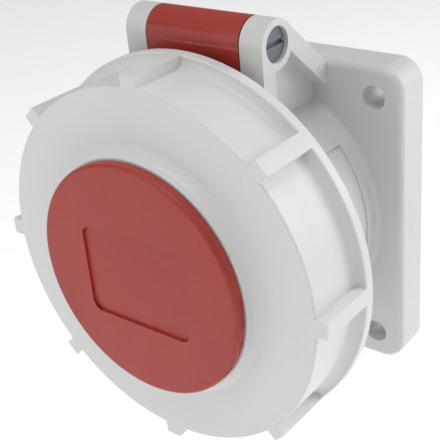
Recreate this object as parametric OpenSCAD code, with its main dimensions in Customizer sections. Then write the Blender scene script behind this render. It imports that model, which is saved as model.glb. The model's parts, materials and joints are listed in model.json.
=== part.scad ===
// Industrial panel socket, five poles, 63 A size, straight outlet.
// A square flange carries a round collar. A sprung red cap closes the collar, and a
// grey bayonet ring that turns on the cap locks it down watertight.
// The panel lies on y = 0, the socket looks along -Y and +Z is up.
// Modules work in the socket's own axes, x to the right, y up and z out of the panel,
// and outward() turns them into place.

/* [Flange] */
// Side of the square flange
flange_w = 96; // [94:1:100]
// Thickness of the flange
flange_t = 12; // [11:0.5:13]
// Radius of the flange's four upright corners
flange_corner_r = 7; // [5:0.5:8]
// Rounding of the flange's front edge
flange_edge_r = 2; // [1:0.2:2.4]
// Distance between neighbouring panel bolts
bolt_pitch = 78; // [77:0.5:79]
// Diameter of the panel bolt holes
bolt_hole_d = 7.2; // [6.4:0.2:7.4]

/* [Collar] */
// Outer diameter of the collar
collar_d = 80; // [79:0.5:81]
// Bore of the collar, around the plug's shroud
collar_bore_d = 72.6; // [72:0.2:73]
// Distance from the panel to the collar's sealing edge
collar_front = 57.7; // [57:0.1:58]

/* [Locking ring] */
// Outer diameter over the ring's rim and ribs
ring_d = 116; // [114:0.5:118]
// Diameter of the ring's drum between the ribs
drum_d = 109.2; // [108:0.2:110]
// Distance from the panel to the ring's rear rim
ring_rear = 46; // [45.8:0.1:46.4]
// Distance from the panel to the ring's flat front
ring_front = 68; // [67.8:0.1:68.4]
// Number of grip ribs
rib_count = 8; // [4:4:16]
// Width of a grip rib
rib_w = 5; // [3:0.5:8]
// Height of the raised lip around the cap's disc
lip_h = 3.8; // [3:0.2:4]

/* [Cap] */
// Diameter of the cap's front disc
disc_d = 70.8; // [70.6:0.1:71.2]
// Distance from the panel to the cap's front face
cap_front = 75.2; // [74.8:0.1:76]
// Width of the bare recess in the cap's face
recess_w = 36.6; // [30:0.2:40]
// Height of the bare recess in the cap's face
recess_h = 27.8; // [24:0.2:32]
// Depth of the bare recess in the cap's face
recess_depth = 0.8; // [0.4:0.1:1.2]

/* [Hinge] */
// Height of the hinge axis above the socket's axis
hinge_up = 59.2; // [59:0.1:60]
// Distance from the panel to the hinge axis
hinge_out = 34.9; // [34.5:0.1:35]
// Outer radius of the lug bosses and of the cap's barrel
barrel_r = 6.95; // [6.8:0.05:7.2]
// Distance between the outer faces of the two lugs
lugs_w = 47.6; // [46:0.2:50]
// Distance between the inner faces of the two lugs
lugs_gap = 32.8; // [32:0.2:33.4]

/* [Contacts] */
// Radius of the circle that the contacts stand on
contact_circle_r = 18.5; // [18:0.1:19]
// Diameter of the phase and neutral pins that the sleeves take
phase_pin_d = 8; // [7.8:0.1:8.2]
// Diameter of the earth pin that the sleeve takes
earth_pin_d = 10; // [9.8:0.1:10.2]
// Diameter of the wire holes in the terminals
wire_hole_d = 8.4; // [7:0.2:9]

/* [Hidden] */
$fn = 96;
eps = 0.1;            // overlap of joined forms
over = 1;             // how far a cut runs past the face that it opens
hair = 0.02;          // keeps the faces of neighbouring forms from falling together
play = 0.05;          // radial clearance of a running fit or of a screw in its hole
free_gap = 0.4;       // clearance between moving pieces that don't guide each other

// flange and collar
corner_centre = flange_w / 2 - flange_corner_r;
collar_r = collar_d / 2;
bore_r = collar_bore_d / 2;
collar_foot_r = 1.8;      // fillet where the collar meets the flange
collar_edge_r = 1.2;      // rounding of the sealing edge
ledge_z = 7;              // rear face of the ledge that the insert seats on
ledge_t = 6.5;
ledge_r = 31.2;
seat_r = 39;              // counterbore for the insert's flange
keyway_w = 9;             // keyway for the plug's key, at six o'clock
keyway_depth = 1.8;
pocket_in_r = 42.5;       // hollows around the bolt bosses, open at the back
pocket_depth = 8.5;
bolt_boss_r = 6.6;
flange_rim = 5.2;         // solid rim around the flange's back
label_z = 17.4;           // bare recessed field on the collar's right side
label_top = 39.5;
label_span = 66;
label_depth = 0.6;
label_len = 26;

// rear seal of the flange
seal_w = 2.6;
seal_t = 1.8;
seal_inset = 1.5;         // wall left outside the seal's groove

// bayonet, angles from +x towards up
collar_lug_mid = [-45, 135];
collar_lug_span = 26;
collar_lug_r = 45.5;
collar_lug_z = 51;
collar_lug_t = 5;
ring_lug_mid = [0, 180];
ring_lug_span = 26;
ring_lug_r = 42.5;
ring_lug_z = 47;
ring_lug_t = 3.5;

// locking ring
ring_r = ring_d / 2;
drum_r = drum_d / 2;
drum_wall = 3.1;
ring_in_r = drum_r - drum_wall;
ring_wall = 3;            // front wall
rim_w = 3.2;              // outer band at the rear
rim_edge_r = 0.6;
drum_edge_r = 0.6;
rim_foot_r = 2.8;         // fillet between drum and rim
lip_r = 36.2;
lip_foot_r = 3.2;
lip_edge_r = 0.5;
rib_root = 1.5;           // the ribs start this far inside the drum
rib_rear = 1;             // and this far in front of the rear face
hole_r = 34.8;

// cap
disc_r = disc_d / 2;
disc_edge_r = 1.2;
neck_r = hole_r - free_gap;
neck_in_r = 31.4;
disc_back = ring_front + lip_h + 0.35;
plate_r = 48;
plate_front = ring_front - ring_wall - free_gap;
plate_back = 61;
gasket_in_r = 37.6;
gasket_out_r = 41.4;
gasket_front = plate_back;
gasket_back = collar_front + 0.3;
skirt_back = 59;
skirt_t = 2;
rib_t = 1.8;
web_count = 6;
web_first = 30;           // angle of the first stiffener
web_start = 63;           // the stiffeners end this far from the panel
hub_r = 7;
recess_corner_r = 3.5;
arm_w = lugs_gap - 2 * free_gap;
arm_t = 3;
strap_low = 43;
strap_t = 4.5;
arm_front = hinge_out + barrel_r - 2 * hair;

// hinge pin and spring
head_r = 4.95;
head_end = lugs_w / 2 - 1.2;
head_start = 12.2;
shank_r = 2.6;
shank_end = -20;
slot_w = 1.3;
slot_depth = 1.1;
spring_chamber_r = 5.2;
spring_chamber_half = 12;
wire_r = 0.55;
coil_r = 4;
coil_half = 10.8;
coil_turns = 15;
steps_per_turn = 20;
leg_len = 2.2;
leg_overrun = 7;
leg_hole_r = wire_r + 0.15;
leg_spare = 0.6;          // depth of the leg's hole beyond its end

// hinge lugs
lug_web_t = 2.5;
lug_front_rib = 5.6;
lug_top_rib = 5.4;
lug_low = 28;
lug_set_in = 0.3;         // the lug's slope starts this far below the flange's top edge

// insert
insert_r = 30.5;
insert_front = 55;
insert_back = -2;
insert_flange_r = seat_r - 0.3;
insert_flange_back = 0.5;
insert_edge = 1;
face_wall = 3;            // wall in front of the sleeves
pin_free = 0.4;           // room around a pin in the front wall
blind_r = 3.4;            // moulded blind place at the centre
blind_depth = 12;
oring_r = 32.4;
oring_w = 1.7;
oring_t = 1.4;
insert_screw_at = 35.3;
insert_screw_angles = [45, 135, 225, 315];
insert_screw_r = 1.6;
insert_screw_head = [2.8, 2];   // radius and height
insert_screw_seat = 3;
insert_screw_end = 12;

// retainer behind the insert
retainer_back = -19;
retainer_r = 30;
chamber_r = 7.5;
chamber_back = -17;
wire_entry_r = 4.9;
wire_funnel_r = 6.4;      // the entry widens to this at the back
access_r = 3.1;
scallop_r = 4;
scallop_at = 31.5;
scallop_len = 11;
retainer_screw_at = 22.5;
retainer_screw_angles = [90, 234, 306];
retainer_screw_r = 1.7;
retainer_screw_head = [2.9, 2.4];
retainer_screw_seat = -8;
retainer_screw_end = 9;
retainer_screw_room = 0.3;      // spare radius of the hole around the head

// contacts: each row is the angle on the contact circle, the pin's diameter and the sleeve's front end
L1 = [198, phase_pin_d, 45];
L2 = [126, phase_pin_d, 45];
L3 = [54, phase_pin_d, 45];
NEUTRAL = [342, phase_pin_d, 45];
EARTH = [270, earth_pin_d, 50];
POLES = [L1, L2, L3, NEUTRAL, EARTH];
sleeve_wall = 1.5;
sleeve_floor = 9;
sleeve_slot_w = 1.2;
sleeve_slot_len = 24;
grip_back_off = 4;        // the grip ring's place behind the sleeve's front end
grip_wire_r = 0.55;
grip_sink = 0.45;
grip_gap = 15;            // angle left open in the grip ring, and where it starts
grip_gap_at = 20;
shoulder_r = 8.4;
shoulder_free = 0.1;
shoulder_front = 2;
terminal_r = 7.2;
terminal_back = -16;
wire_hole_depth = 13;
clamp_r = 2.5;
clamp_z = [-12, -6];
clamp_len = 8;
clamp_slot = [1, 1.2];    // width and depth
clamp_tip = 4.4;          // distance of the clamp screw's tip from the contact's axis
channel_free = 1.1;

// ---------- helpers ----------

// turns the socket's own axes into place: z out of the panel becomes -Y, y becomes +Z
module outward() {
    rotate([90, 0, 0]) children();
}

// a block of a ring, centred on an angle
module ring_sector(r_in, r_out, h, mid, span) {
    rotate(mid - span / 2)
        rotate_extrude(angle = span)
            translate([r_in, 0]) square([r_out - r_in, h]);
}

module tube(r_in, r_out, h) {
    rotate_extrude() translate([r_in, 0]) square([r_out - r_in, h]);
}

// what a concave fillet adds in the corner at the origin, towards +x and +y
module foot_2d(r) {
    difference() {
        translate([-eps, -eps]) square(r + eps);
        translate([r, r]) circle(r = r);
    }
}

// what rounding takes off a convex corner at the origin, from -x and -y
module corner_cut_2d(r) {
    translate([-r, -r])
        difference() {
            square(r + 1);
            circle(r = r);
        }
}

// a cylinder along x between two stations on the hinge axis
module on_hinge(x_from, x_to, r) {
    translate([x_from, hinge_up, hinge_out])
        rotate([0, 90, 0]) cylinder(r = r, h = x_to - x_from);
}

module at_pole(pole) {
    rotate(pole[0]) translate([contact_circle_r, 0, 0]) children();
}

// a screw with its head behind seat and a cross recess; head holds the head's radius and height
module screw(shank_r, seat, end, head) {
    recess_w = 0.8;
    recess_len = 1.2 * head[0];
    difference() {
        union() {
            translate([0, 0, seat]) cylinder(r = shank_r, h = end - seat);
            translate([0, 0, seat - head[1]]) cylinder(r = head[0], h = head[1]);
        }
        for (turn = [0, 90])
            rotate(turn)
                translate([-recess_len / 2, -recess_w / 2, seat - head[1] - eps])
                    cube([recess_len, recess_w, head[1] / 2]);
    }
}

// ---------- housing ----------

// section through the flange's edge, from the centre of a corner outwards
module flange_edge_2d() {
    difference() {
        square([flange_corner_r, flange_t]);
        translate([flange_corner_r, flange_t]) corner_cut_2d(flange_edge_r);
    }
}

module flange_body() {
    for (turn = [0 : 90 : 270])
        rotate(turn) {
            translate([corner_centre, corner_centre, 0])
                rotate_extrude(angle = 90) flange_edge_2d();
            translate([corner_centre, corner_centre, 0])
                rotate([90, 0, 0])
                    linear_extrude(2 * corner_centre) flange_edge_2d();
        }
    translate([-corner_centre, -corner_centre, 0])
        cube([2 * corner_centre, 2 * corner_centre, flange_t]);
}

module bolt_places() {
    for (x = [-1, 1], y = [-1, 1])
        translate([x * bolt_pitch / 2, y * bolt_pitch / 2, 0]) children();
}

// hollows around the bolt bosses, as moulded from behind
module corner_pockets() {
    inner = flange_w / 2 - flange_rim;
    translate([0, 0, -eps])
        linear_extrude(pocket_depth + eps)
            difference() {
                square(2 * inner, center = true);
                circle(r = pocket_in_r);
                bolt_places() circle(r = bolt_boss_r);
                for (x = [-1, 1], y = [-1, 1])
                    translate([x * (bolt_pitch / 2 + bolt_boss_r), y * (bolt_pitch / 2 + bolt_boss_r)])
                        square(2 * bolt_boss_r, center = true);
            }
}

module seal_outline(inset) {
    side = flange_w - 2 * inset;
    r = flange_corner_r - inset;
    for (turn = [0, 90])
        rotate(turn) square([side - 2 * r, side], center = true);
    for (x = [-1, 1], y = [-1, 1])
        translate([x * (side / 2 - r), y * (side / 2 - r)]) circle(r = r);
}

module seal_band(z_from, z_to, spare) {
    translate([0, 0, z_from])
        linear_extrude(z_to - z_from)
            difference() {
                seal_outline(seal_inset - spare);
                seal_outline(seal_inset + seal_w + spare);
            }
}

// where the line from p runs on to the circle of radius r round c, on its upper side
function tangent_point(c, r, p) =
    let (d = p - c, a = acos(r / norm(d)), b = atan2(d[1], d[0]))
    c + r * [cos(b - a), sin(b - a)];

hinge_axis = [hinge_out, hinge_up];
lug_root = [flange_t, flange_w / 2 - lug_set_in];
lug_touch = tangent_point(hinge_axis, barrel_r - hair, lug_root);
lug_front = hinge_out + barrel_r - hair;

// outline of a hinge lug, x out of the panel and y up
module lug_2d() {
    translate(hinge_axis) circle(r = barrel_r);
    polygon([[flange_t - 2, lug_low], [flange_t - 2, lug_root[1] - flange_edge_r], lug_root,
             lug_touch, hinge_axis, [lug_front, hinge_up], [lug_front, lug_low]]);
}

// the sunken field between the lug's ribs
module lug_field_2d() {
    along = (lug_touch - lug_root) / norm(lug_touch - lug_root);
    inset = lug_top_rib * [along[1], -along[0]];
    low = lug_root + inset - along * inset[0] / along[0];
    high = lug_touch + inset;
    difference() {
        polygon([[flange_t, lug_low - 1], low, high, [lug_front - lug_front_rib, high[1]],
                 [lug_front - lug_front_rib, lug_low - 1]]);
        translate(hinge_axis) circle(r = barrel_r);
    }
}

module hinge_lug(side) {
    // x out of the panel and y up become z and y, extruded along x
    module stand(x_from, x_to) {
        translate([x_from, 0, 0])
            rotate([0, -90, 0]) mirror([0, 0, 1])
                linear_extrude(x_to - x_from) children();
    }
    mirror([side < 0 ? 1 : 0, 0, 0])
        difference() {
            stand(lugs_gap / 2, lugs_w / 2) lug_2d();
            stand(lugs_gap / 2 + lug_web_t, lugs_w / 2 + eps) lug_field_2d();
        }
}

module collar_body() {
    // wall with a rounded sealing edge and a filleted foot
    rotate_extrude() {
        difference() {
            translate([bore_r, 0]) square([collar_r - bore_r, collar_front]);
            translate([collar_r, collar_front]) corner_cut_2d(collar_edge_r);
        }
        translate([collar_r, flange_t]) foot_2d(collar_foot_r);
    }
    for (mid = collar_lug_mid)
        translate([0, 0, collar_lug_z])
            ring_sector(collar_r - over, collar_lug_r, collar_lug_t, mid, collar_lug_span);
}

module housing() {
    outward() color("gainsboro")
        difference() {
            union() {
                flange_body();
                collar_body();
                hinge_lug(1);
                hinge_lug(-1);
            }
            // bore for the plug's shroud, then the ledge, then the seat at the back
            translate([0, 0, ledge_z + ledge_t])
                cylinder(r = bore_r, h = collar_front);
            translate([0, 0, -eps]) cylinder(r = ledge_r, h = collar_front);
            translate([0, 0, -eps]) cylinder(r = seat_r, h = ledge_z + eps);
            translate([-keyway_w / 2, -bore_r - keyway_depth, ledge_z + ledge_t])
                cube([keyway_w, bore_r, collar_front]);
            bolt_places()
                translate([0, 0, -over]) cylinder(d = bolt_hole_d, h = flange_t + 2 * over);
            corner_pockets();
            seal_band(-eps, seal_t + hair, hair);
            // screw holes in the ledge
            for (a = insert_screw_angles)
                rotate(a) translate([insert_screw_at, 0, ledge_z - eps])
                    cylinder(r = insert_screw_r + play, h = ledge_t - 1);
            // bare field on the collar's right side
            translate([0, 0, label_z])
                ring_sector(collar_r - label_depth, collar_r + over, label_len,
                            label_top - label_span / 2, label_span);
            // the pin's bore through the right lug, and its blind bore in the left
            on_hinge(lugs_gap / 2 - over, lugs_w / 2 + over, head_r + play);
            on_hinge(shank_end - free_gap, -lugs_gap / 2 + over, shank_r + play);
        }
}

module flange_gasket() {
    outward() color("dimgray") seal_band(0, seal_t, 0);
}

// ---------- contact insert ----------

function sleeve_r(pole) = pole[1] / 2 + sleeve_wall;
function channel_r(pole) = sleeve_r(pole) + channel_free;

module contact_insert() {
    outward() color("dimgray")
        difference() {
            rotate_extrude()
                polygon([[0, insert_back], [insert_r, insert_back], [insert_r, insert_flange_back],
                         [insert_flange_r, insert_flange_back], [insert_flange_r, ledge_z],
                         [insert_r, ledge_z], [insert_r, insert_front - insert_edge],
                         [insert_r - insert_edge, insert_front], [0, insert_front]]);
            for (pole = POLES)
                at_pole(pole) {
                    translate([0, 0, insert_front - face_wall - eps])
                        cylinder(r = pole[1] / 2 + pin_free, h = face_wall + over);
                    translate([0, 0, insert_back])
                        cylinder(r = channel_r(pole), h = insert_front - face_wall - insert_back);
                    translate([0, 0, insert_back - eps])
                        cylinder(r = shoulder_r + shoulder_free, h = shoulder_front - insert_back + eps);
                }
            translate([0, 0, insert_front - blind_depth]) cylinder(r = blind_r, h = blind_depth + over);
            // groove for the seal, in the flange's front
            translate([0, 0, ledge_z - oring_t])
                tube(oring_r - oring_w / 2 - hair, oring_r + oring_w / 2 + hair, oring_t + over);
            for (a = insert_screw_angles)
                rotate(a) translate([insert_screw_at, 0, 0]) {
                    translate([0, 0, -eps])
                        cylinder(r = insert_screw_head[0] + play, h = insert_screw_seat + eps);
                    cylinder(r = insert_screw_r + play, h = ledge_z + over);
                }
            for (a = retainer_screw_angles)
                rotate(a) translate([retainer_screw_at, 0, insert_back - eps])
                    cylinder(r = retainer_screw_r + play, h = retainer_screw_end - insert_back + 0.5);
        }
}

module insert_seal() {
    outward() color("black")
        translate([0, 0, ledge_z - oring_t])
            tube(oring_r - oring_w / 2, oring_r + oring_w / 2, oring_t);
}

module insert_screws() {
    outward() color("silver")
        for (a = insert_screw_angles)
            rotate(a) translate([insert_screw_at, 0, 0])
                screw(insert_screw_r, insert_screw_seat, insert_screw_end, insert_screw_head);
}

module contact_retainer() {
    outward() color("dimgray")
        difference() {
            translate([0, 0, retainer_back]) cylinder(r = retainer_r, h = insert_back - retainer_back);
            for (pole = POLES)
                at_pole(pole) {
                    translate([0, 0, chamber_back])
                        cylinder(r = chamber_r, h = insert_back - chamber_back + eps);
                    translate([0, 0, retainer_back - eps])
                        cylinder(r1 = wire_funnel_r, r2 = wire_entry_r,
                                 h = chamber_back - retainer_back + 2 * eps);
                    for (z = clamp_z)
                        translate([0, 0, z]) rotate([0, 90, 0]) cylinder(r = access_r, h = retainer_r);
                }
            // scallops between the terminals
            for (k = [0 : 4])
                rotate(18 + 72 * k) translate([scallop_at, 0, retainer_back - over])
                    cylinder(r = scallop_r, h = scallop_len + over);
            for (a = retainer_screw_angles)
                rotate(a) translate([retainer_screw_at, 0, retainer_back - over]) {
                    cylinder(r = retainer_screw_head[0] + play + retainer_screw_room,
                             h = retainer_screw_seat - retainer_back + over);
                    cylinder(r = retainer_screw_r + play, h = insert_back - retainer_back + 2 * over);
                }
        }
}

module retainer_screws() {
    outward() color("silver")
        for (a = retainer_screw_angles)
            rotate(a) translate([retainer_screw_at, 0, 0])
                screw(retainer_screw_r, retainer_screw_seat, retainer_screw_end, retainer_screw_head);
}

// ---------- contacts ----------

module grip_place(pole) {
    at_pole(pole) translate([0, 0, pole[2] - grip_back_off]) children();
}

// one turned brass contact: slotted sleeve, shoulder and terminal with two clamp screws
module contact(pole) {
    outward() color("goldenrod")
        difference() {
            at_pole(pole) {
                translate([0, 0, insert_back]) cylinder(r = sleeve_r(pole), h = pole[2] - insert_back);
                translate([0, 0, insert_back]) cylinder(r = shoulder_r, h = shoulder_front - insert_back);
                translate([0, 0, terminal_back])
                    cylinder(r = terminal_r, h = insert_back - terminal_back + eps);
            }
            at_pole(pole) {
                translate([0, 0, sleeve_floor]) cylinder(r = pole[1] / 2, h = pole[2]);
                translate([0, 0, terminal_back - over])
                    cylinder(d = wire_hole_d, h = wire_hole_depth + over);
                for (turn = [0, 90])
                    rotate(turn)
                        translate([-sleeve_r(pole) - over, -sleeve_slot_w / 2, pole[2] - sleeve_slot_len])
                            cube([2 * sleeve_r(pole) + 2 * over, sleeve_slot_w, sleeve_slot_len + over]);
                for (z = clamp_z)
                    translate([0, 0, z]) rotate([0, 90, 0])
                        cylinder(r = clamp_r + play, h = terminal_r + over);
            }
            grip_place(pole) rotate_extrude()
                translate([sleeve_r(pole) - grip_sink + grip_wire_r, 0]) circle(r = grip_wire_r + hair);
        }
}

// the steel ring that keeps the sleeve's fingers closed
module grip_ring(pole) {
    outward() color("slategray")
        grip_place(pole)
            rotate(grip_gap_at) rotate_extrude(angle = 360 - grip_gap)
                translate([sleeve_r(pole) - grip_sink + grip_wire_r, 0]) circle(r = grip_wire_r);
}

module clamp_screws(pole) {
    outward() color("silver")
        at_pole(pole)
            for (z = clamp_z)
                translate([clamp_tip, 0, z]) rotate([0, 90, 0])
                    difference() {
                        cylinder(r = clamp_r, h = clamp_len);
                        translate([-clamp_r - over, -clamp_slot[0] / 2, clamp_len - clamp_slot[1]])
                            cube([2 * clamp_r + 2 * over, clamp_slot[0], clamp_slot[1] + over]);
                    }
}

// ---------- hinge ----------

module hinge_pin() {
    outward() color("slategray")
        difference() {
            union() {
                on_hinge(head_start, head_end, head_r);
                on_hinge(shank_end, head_start + eps, shank_r);
            }
            // screwdriver slot in the visible end
            translate([head_end - slot_depth, hinge_up - slot_w / 2, hinge_out - head_r - over])
                cube([slot_depth + over, slot_w, 2 * (head_r + over)]);
            // hole for the spring's leg
            translate([head_start - eps, hinge_up, hinge_out - coil_r])
                rotate([0, 90, 0]) cylinder(r = leg_hole_r, h = leg_len + leg_spare);
        }
}

// a point of the coil, k steps of 18 degrees along it; its ends overrun the legs a little
function coil_point(k, steps, r) =
    let (a = 180 - leg_overrun + (360 * coil_turns + 2 * leg_overrun) * k / steps)
    [-coil_half + 2 * coil_half * k / steps, r * sin(a), r * cos(a)];

module coil() {
    steps = coil_turns * steps_per_turn;
    sides = 6;
    pts = [for (k = [0 : steps], s = [0 : sides - 1])
        let (w = 360 * s / sides, p = coil_point(k, steps, coil_r + wire_r * cos(w)))
        p + [wire_r * sin(w), 0, 0]];
    rings = [for (k = [0 : steps - 1], s = [0 : sides - 1], half = [0, 1])
        let (a = k * sides + s, b = k * sides + (s + 1) % sides)
        half == 0 ? [a, b + sides, b] : [a, a + sides, b + sides]];
    first = [for (s = [0 : sides - 1]) s];
    last = [for (s = [sides - 1 : -1 : 0]) steps * sides + s];
    polyhedron(points = pts, faces = concat(rings, [first, last]), convexity = 10);
}

module hinge_spring() {
    outward() color("silver")
        translate([0, hinge_up, hinge_out]) {
            coil();
            // the two legs run along the axis, one into the pin's head and one into the cap
            for (side = [-1, 1])
                translate([side * (coil_half - wire_r / 3), 0, -coil_r])
                    rotate([0, side * 90, 0])
                        cylinder(r = wire_r, h = spring_chamber_half - coil_half + leg_len);
        }
}

// ---------- cap ----------

module cap_shell() {
    rotate_extrude()
        difference() {
            union() {
                translate([0, disc_back]) square([disc_r, cap_front - disc_back]);
                translate([neck_in_r, plate_back])
                    square([neck_r - neck_in_r, disc_back - plate_back + eps]);
                translate([neck_in_r, plate_back]) square([plate_r - neck_in_r, plate_front - plate_back]);
                translate([gasket_out_r + hair, skirt_back])
                    square([skirt_t, plate_back - skirt_back + eps]);
                translate([gasket_in_r - hair - skirt_t, skirt_back])
                    square([skirt_t, plate_back - skirt_back + eps]);
            }
            translate([disc_r, cap_front]) corner_cut_2d(disc_edge_r);
        }
}

// moulded stiffeners behind the cap's face
module cap_webs() {
    web_len = disc_back - web_start + eps;
    translate([0, 0, web_start]) tube(hub_r, hub_r + rib_t, web_len);
    for (k = [0 : web_count - 1])
        rotate(web_first + 360 / web_count * k)
            translate([hub_r + rib_t / 2, -rib_t / 2, web_start])
                cube([neck_in_r - hub_r, rib_t, web_len]);
}

module face_recess() {
    translate([0, 0, cap_front - recess_depth])
        linear_extrude(recess_depth + over) {
            for (x = [-1, 1], y = [-1, 1])
                translate([x * (recess_w / 2 - recess_corner_r), y * (recess_h / 2 - recess_corner_r)])
                    circle(r = recess_corner_r);
            square([recess_w - 2 * recess_corner_r, recess_h], center = true);
            square([recess_w, recess_h - 2 * recess_corner_r], center = true);
        }
}

// the arm leaves the plate inside the ring, passes behind the ring's rim and climbs to the barrel
module cap_arm() {
    translate([-arm_w / 2, strap_low, arm_front - arm_t])
        cube([arm_w, strap_t, plate_back + over - arm_front + arm_t]);
    translate([-arm_w / 2, strap_low, arm_front - arm_t])
        cube([arm_w, hinge_up - strap_low, arm_t]);
}

module cap() {
    outward() color("firebrick")
        difference() {
            union() {
                cap_shell();
                cap_webs();
                cap_arm();
                on_hinge(-arm_w / 2, arm_w / 2, barrel_r);
            }
            face_recess();
            on_hinge(-spring_chamber_half, spring_chamber_half, spring_chamber_r);
            on_hinge(spring_chamber_half - eps, arm_w / 2 + over, head_r + play);
            on_hinge(-arm_w / 2 - over, -spring_chamber_half + eps, shank_r + play);
            // hole for the spring's leg
            translate([-spring_chamber_half + eps, hinge_up, hinge_out - coil_r])
                rotate([0, -90, 0]) cylinder(r = leg_hole_r, h = leg_len + leg_spare);
        }
}

module cap_gasket() {
    outward() color("black")
        translate([0, 0, gasket_back])
            tube(gasket_in_r, gasket_out_r, gasket_front - gasket_back);
}

// ---------- locking ring ----------

module ring_section_2d() {
    difference() {
        union() {
            translate([ring_in_r, ring_rear]) square([drum_r - ring_in_r, ring_front - ring_rear]);
            translate([hole_r, ring_front - ring_wall]) square([drum_r - hole_r, ring_wall]);
            translate([hole_r, ring_front - eps]) square([lip_r - hole_r, lip_h + eps]);
            translate([lip_r, ring_front]) foot_2d(lip_foot_r);
            translate([drum_r - eps, ring_rear]) square([ring_r - drum_r + eps, rim_w]);
            translate([drum_r, ring_rear + rim_w]) foot_2d(rim_foot_r);
        }
        translate([drum_r, ring_front]) corner_cut_2d(drum_edge_r);
        translate([ring_r, ring_rear + rim_w]) corner_cut_2d(rim_edge_r);
        translate([lip_r, ring_front + lip_h]) corner_cut_2d(lip_edge_r);
    }
}

module ring_ribs() {
    intersection() {
        cylinder(r = ring_r, h = ring_front);
        for (k = [0 : rib_count - 1])
            rotate(k * 360 / rib_count)
                translate([drum_r - rib_root, -rib_w / 2, ring_rear + rib_rear])
                    cube([ring_r, rib_w, ring_front - ring_rear - rib_rear]);
    }
}

module locking_ring() {
    outward() color("lightgray") {
        rotate_extrude() ring_section_2d();
        ring_ribs();
        for (mid = ring_lug_mid)
            translate([0, 0, ring_lug_z])
                ring_sector(ring_lug_r, ring_in_r + over, ring_lug_t, mid, ring_lug_span);
    }
}

housing();
flange_gasket();
contact_insert();
insert_seal();
insert_screws();
contact_retainer();
retainer_screws();
contact(L1);  // contact_l1
contact(L2);  // contact_l2
contact(L3);  // contact_l3
contact(NEUTRAL);  // contact_n
contact(EARTH);  // contact_pe
grip_ring(L1);  // grip_ring_l1
grip_ring(L2);  // grip_ring_l2
grip_ring(L3);  // grip_ring_l3
grip_ring(NEUTRAL);  // grip_ring_n
grip_ring(EARTH);  // grip_ring_pe
clamp_screws(L1);  // clamp_screws_l1
clamp_screws(L2);  // clamp_screws_l2
clamp_screws(L3);  // clamp_screws_l3
clamp_screws(NEUTRAL);  // clamp_screws_n
clamp_screws(EARTH);  // clamp_screws_pe
hinge_pin();
hinge_spring();
cap();
cap_gasket();
locking_ring();
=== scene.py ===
import json
import math

import bpy
from mathutils import Matrix, Vector


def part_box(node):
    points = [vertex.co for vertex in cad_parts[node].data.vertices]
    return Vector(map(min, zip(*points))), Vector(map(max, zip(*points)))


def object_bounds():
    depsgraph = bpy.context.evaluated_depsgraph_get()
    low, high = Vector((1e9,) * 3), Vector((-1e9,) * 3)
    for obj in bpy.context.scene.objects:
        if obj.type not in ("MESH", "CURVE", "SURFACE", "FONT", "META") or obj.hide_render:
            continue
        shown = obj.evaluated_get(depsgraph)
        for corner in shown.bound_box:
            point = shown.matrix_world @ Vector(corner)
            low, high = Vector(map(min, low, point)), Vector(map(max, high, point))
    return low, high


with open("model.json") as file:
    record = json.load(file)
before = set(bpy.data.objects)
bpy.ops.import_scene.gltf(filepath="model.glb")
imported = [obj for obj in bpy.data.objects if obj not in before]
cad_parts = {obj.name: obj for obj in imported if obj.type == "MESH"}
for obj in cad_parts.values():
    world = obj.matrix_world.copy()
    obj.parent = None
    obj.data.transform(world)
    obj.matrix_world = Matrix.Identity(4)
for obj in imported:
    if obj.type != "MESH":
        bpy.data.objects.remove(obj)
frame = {"nodes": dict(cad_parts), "record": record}
cad_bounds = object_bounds()
nodes = frame["nodes"]

# ---------- sizes, in metres ----------

MM = 0.001
RING_LO, RING_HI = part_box("locking_ring")
CAP_LO, CAP_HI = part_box("cap")
RING_R = RING_HI.x                        # over the ring's rim and ribs
RING_BACK = RING_HI.y                     # rear face of the ring's rim

# ---------- camera ----------

IMAGE_W = 440
SENSOR_MM = 36.0
FOCAL_PX = 967.0
CAMERA_TURN = math.radians(40.43)         # round the part from straight in front
CAMERA_RISE = math.radians(27.53)
CAMERA_ROLL = math.radians(-5.43)
CAMERA_AWAY = 4.9385 * RING_R             # from the centre of the ring's rear face
AIM_RIGHT = 0.0957 * RING_R
AIM_UP = 0.0969 * RING_R


def make_camera():
    back = Vector((
        math.sin(CAMERA_TURN) * math.cos(CAMERA_RISE),
        -math.cos(CAMERA_TURN) * math.cos(CAMERA_RISE),
        math.sin(CAMERA_RISE),
    ))
    level = Vector((math.cos(CAMERA_TURN), math.sin(CAMERA_TURN), 0))
    rise = back.cross(level)
    right = math.cos(CAMERA_ROLL) * level + math.sin(CAMERA_ROLL) * rise
    up = -math.sin(CAMERA_ROLL) * level + math.cos(CAMERA_ROLL) * rise
    data = bpy.data.cameras.new("camera")
    data.sensor_width = SENSOR_MM
    data.lens = FOCAL_PX / IMAGE_W * SENSOR_MM
    data.clip_start = 0.01
    data.clip_end = 20
    cam = bpy.data.objects.new("camera", data)
    place = (
        Vector((0, RING_BACK, 0))
        + AIM_RIGHT * right
        + AIM_UP * up
        + CAMERA_AWAY * back
    )
    turn = Matrix((right, up, back)).transposed()
    cam.matrix_world = Matrix.Translation(place) @ turn.to_4x4()
    bpy.context.scene.collection.objects.link(cam)
    bpy.context.scene.camera = cam


make_camera()

# ---------- stage and light ----------

FLOOR_DROP = 0.16                         # floor below the part, which hangs on its panel
FLOOR_HALF = 6.0
FLOOR_GLOW = 0.38
WORLD_LIGHT = 0.28
# name: direction from the part, distance, width and height in metres, power in watts
LAMPS = {
    "front_box": ((-0.45, -0.85, 0.35), 1.3, (0.9, 0.9), 3.3),
    "top_box": ((0.10, -0.15, 1.0), 1.2, (0.9, 0.9), 6.0),
    "back_box": ((0.69, 0.68, 0.35), 1.2, (0.8, 0.8), 6.6),
}


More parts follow.
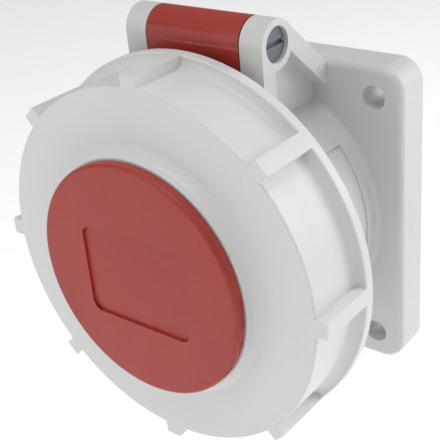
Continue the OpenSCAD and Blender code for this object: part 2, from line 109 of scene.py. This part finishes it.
def make_stage():
    mesh = bpy.data.meshes.new("floor")
    z = cad_bounds[0].z - FLOOR_DROP
    corners = [(-1, -1), (1, -1), (1, 1), (-1, 1)]
    mesh.from_pydata([(x * FLOOR_HALF, y * FLOOR_HALF, z) for x, y in corners], [], [(0, 1, 2, 3)])
    floor = bpy.data.objects.new("floor", mesh)
    bpy.context.scene.collection.objects.link(floor)
    mat = bpy.data.materials.new("floor")
    mat.use_nodes = True
    shader = mat.node_tree.nodes["Principled BSDF"]
    shader.inputs["Base Color"].default_value = (0.93, 0.93, 0.93, 1)
    shader.inputs["Roughness"].default_value = 0.9
    shader.inputs["Emission Color"].default_value = (1, 1, 1, 1)
    shader.inputs["Emission Strength"].default_value = FLOOR_GLOW
    mesh.materials.append(mat)


def make_lights():
    world = bpy.data.worlds.new("studio")
    world.use_nodes = True
    shade = world.node_tree.nodes["Background"]
    shade.inputs["Color"].default_value = (1, 1, 1, 1)
    shade.inputs["Strength"].default_value = WORLD_LIGHT
    bpy.context.scene.world = world
    aim = Vector((0, RING_BACK, 0))
    for name, (direction, away, size, power) in LAMPS.items():
        data = bpy.data.lights.new(name, "AREA")
        data.shape = "RECTANGLE"
        data.size, data.size_y = size
        data.energy = power
        lamp = bpy.data.objects.new(name, data)
        toward = Vector(direction).normalized()
        lamp.location = aim + away * toward
        lamp.rotation_mode = "QUATERNION"
        lamp.rotation_quaternion = (-toward).to_track_quat("-Z", "Y")
        bpy.context.scene.collection.objects.link(lamp)


make_stage()
make_lights()
bpy.context.scene.view_settings.view_transform = "Standard"
bpy.context.scene.view_settings.look = "None"

# ---------- materials ----------


class Shader:
    """A node material, with short calls for the few nodes that it uses."""

    def __init__(self, name):
        self.mat = bpy.data.materials.new(name)
        self.mat.use_nodes = True
        self.tree = self.mat.node_tree
        self.bsdf = self.tree.nodes["Principled BSDF"]
        self.coords = self.add("ShaderNodeTexCoord").outputs["Object"]

    def add(self, kind, **settings):
        made = self.tree.nodes.new(kind)
        for key, value in settings.items():
            setattr(made, key, value)
        return made

    def link(self, a, b):
        self.tree.links.new(a, b)

    def set(self, **values):
        for key, value in values.items():
            self.bsdf.inputs[key.replace("_", " ")].default_value = value

    def noise(self, scale, detail=2.0, stretch=(1, 1, 1)):
        """Noise with features 1 / scale metres apart."""
        place = self.add("ShaderNodeMapping")
        place.inputs["Scale"].default_value = stretch
        self.link(self.coords, place.inputs["Vector"])
        tex = self.add("ShaderNodeTexNoise")
        tex.inputs["Scale"].default_value = scale
        tex.inputs["Detail"].default_value = detail
        self.link(place.outputs["Vector"], tex.inputs["Vector"])
        return tex.outputs["Fac"]

    def span(self, value, low, high, out_low, out_high):
        """Maps value from low..high to out_low..out_high, clamped."""
        made = self.add("ShaderNodeMapRange")
        for key, number in zip(("From Min", "From Max", "To Min", "To Max"), (low, high, out_low, out_high)):
            made.inputs[key].default_value = number
        self.link(value, made.inputs["Value"])
        return made.outputs["Result"]

    def blend(self, amount, a, b):
        """Colour a where amount is 0, colour b where it is 1; each a colour or an output."""
        made = self.add("ShaderNodeMix", data_type="RGBA")
        self.link(amount, made.inputs["Factor"])
        for socket, colour in ((made.inputs[6], a), (made.inputs[7], b)):
            if isinstance(colour, tuple):
                socket.default_value = (*colour, 1)
            else:
                self.link(colour, socket)
        return made.outputs[2]

    def bumps(self, *layers):
        """Adds bump layers of (height output, depth in metres), each on the normal of the one before, and
        feeds the last into the shader's normal.
        """
        normal = None
        for height, depth in layers:
            made = self.add("ShaderNodeBump")
            made.inputs["Distance"].default_value = depth
            self.link(height, made.inputs["Height"])
            if normal is not None:
                self.link(normal, made.inputs["Normal"])
            normal = made.outputs["Normal"]
        self.link(normal, self.bsdf.inputs["Normal"])


def plastic(name, colour, shade, rough, grain=0.25 * MM, depth=0.004 * MM):
    """Moulded plastic: a fine spark-eroded grain, faint flow marks and slightly uneven gloss."""
    s = Shader(name)
    flow = s.noise(28, 3.0)
    s.link(s.blend(s.span(flow, 0.3, 0.7, 0.0, 1.0), colour, shade), s.bsdf.inputs["Base Color"])
    s.link(s.span(s.noise(90, 4.0), 0.3, 0.7, rough - 0.04, rough + 0.05), s.bsdf.inputs["Roughness"])
    s.bumps((s.noise(1 / grain, 2.0), depth), (s.noise(55, 2.0), 0.02 * MM))
    return s.mat


def rubber(name, colour):
    s = Shader(name)
    s.link(
        s.blend(s.noise(120, 3.0), colour, tuple(1.8 * c for c in colour)),
        s.bsdf.inputs["Base Color"],
    )
    s.set(Roughness=0.75)
    s.bumps((s.noise(2500, 2.0), 0.01 * MM))
    return s.mat


def metal(name, colour, shade, rough, along=(1, 1, 1)):
    """Machined metal with fine tool marks stretched along one direction."""
    s = Shader(name)
    s.set(Metallic=1.0)
    s.link(s.blend(s.noise(160, 3.0), colour, shade), s.bsdf.inputs["Base Color"])
    marks = s.noise(1800, 3.0, along)
    s.link(s.span(marks, 0.3, 0.7, rough - 0.06, rough + 0.08), s.bsdf.inputs["Roughness"])
    s.bumps((marks, 0.004 * MM))
    return s.mat


TURNED = (1, 0.06, 1)                     # marks round an axis along y
MATERIALS = {
    "housing_plastic": plastic("housing_plastic", (0.70, 0.71, 0.70), (0.67, 0.68, 0.67), 0.42),
    "ring_plastic": plastic("ring_plastic", (0.76, 0.77, 0.76), (0.74, 0.75, 0.74), 0.40),
    "cap_plastic": plastic("cap_plastic", (0.42, 0.040, 0.028), (0.38, 0.034, 0.024), 0.42),
    "carrier_plastic": plastic("carrier_plastic", (0.030, 0.031, 0.033), (0.042, 0.043, 0.046), 0.45),
    "rubber": rubber("rubber", (0.016, 0.016, 0.017)),
    "brass": metal("brass", (0.72, 0.56, 0.28), (0.64, 0.49, 0.24), 0.28, TURNED),
    "screw_steel": metal("screw_steel", (0.58, 0.58, 0.58), (0.50, 0.50, 0.51), 0.30),
    "spring_steel": metal("spring_steel", (0.42, 0.42, 0.43), (0.34, 0.34, 0.35), 0.26),
    "pin_plastic": plastic("pin_plastic", (0.15, 0.18, 0.205), (0.13, 0.155, 0.18), 0.38),
}

for part in frame["record"]["subparts"]:
    slots = nodes[part["node"]].data.materials
    for index in range(len(slots)):
        slots[index] = MATERIALS[part["material_slot"]]

# ---------- soft edges ----------

WELD = 0.002 * MM                         # joins the faces of a node's mesh, which come apart
FLAT = math.radians(1.0)                  # faces within this angle count as one
EDGE = math.radians(30)                   # edges sharper than this are rounded
SOFT_EDGES = {
    "housing": 0.45 * MM,
    "locking_ring": 0.45 * MM,
    "cap": 0.35 * MM,
    "hinge_pin": 0.20 * MM,
    "contact_insert": 0.30 * MM,
    "contact_retainer": 0.30 * MM,
}


def soften(obj, width):
    """Rounds a moulding's edges, as a tool with slightly worn corners leaves them."""
    weld = obj.modifiers.new("weld", "WELD")
    weld.merge_threshold = WELD
    flat = obj.modifiers.new("flat faces", "DECIMATE")
    flat.decimate_type = "DISSOLVE"
    flat.angle_limit = FLAT
    edges = obj.modifiers.new("soft edges", "BEVEL")
    edges.width = width
    edges.segments = 3
    edges.limit_method = "ANGLE"
    edges.angle_limit = EDGE
    edges.miter_outer = "MITER_ARC"
    shade = obj.modifiers.new("shading", "WEIGHTED_NORMAL")
    shade.keep_sharp = False


for name, width in SOFT_EDGES.items():
    soften(nodes[name], width)
